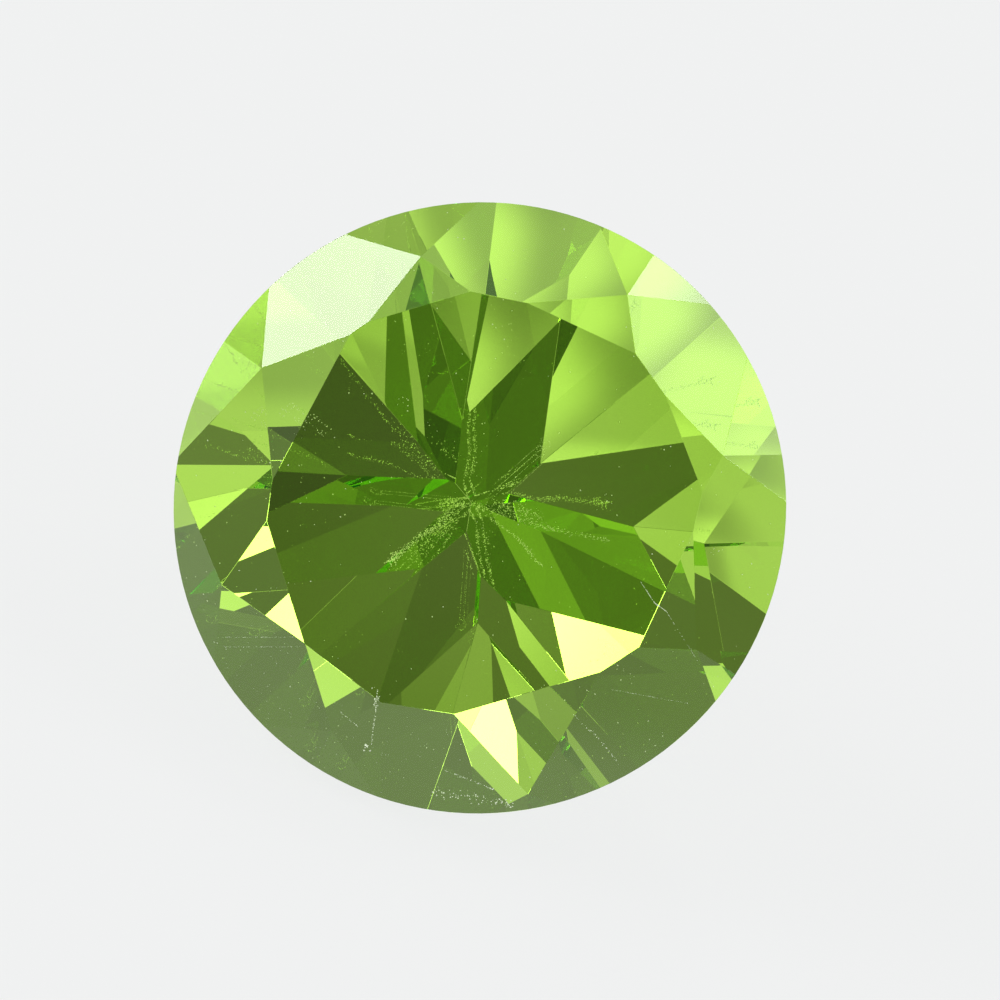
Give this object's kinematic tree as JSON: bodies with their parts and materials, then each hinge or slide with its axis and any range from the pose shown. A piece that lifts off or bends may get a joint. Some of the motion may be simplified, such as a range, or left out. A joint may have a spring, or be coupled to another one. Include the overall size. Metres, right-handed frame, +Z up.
{
  "type": "round cut peridot",
  "caption": "Loose round brilliant-cut green gemstone with a wide table, faceted crown and pointed pavilion, lying on a pavilion facet.",
  "frame": {"origin": "on the surface that the stone rests on, under the middle of its bounding box", "axes": "+Z up, away from the resting facet; the table leans over towards -Y; +X to the right for a viewer who faces the table"},
  "size_m": [0.007, 0.0054, 0.0054],
  "materials": {
    "peridot": "polished facets, fine worn edges, ground girdle"
  },
  "bodies": {
    "root": {"peridot": "peridot"}
  },
  "joints": []
}
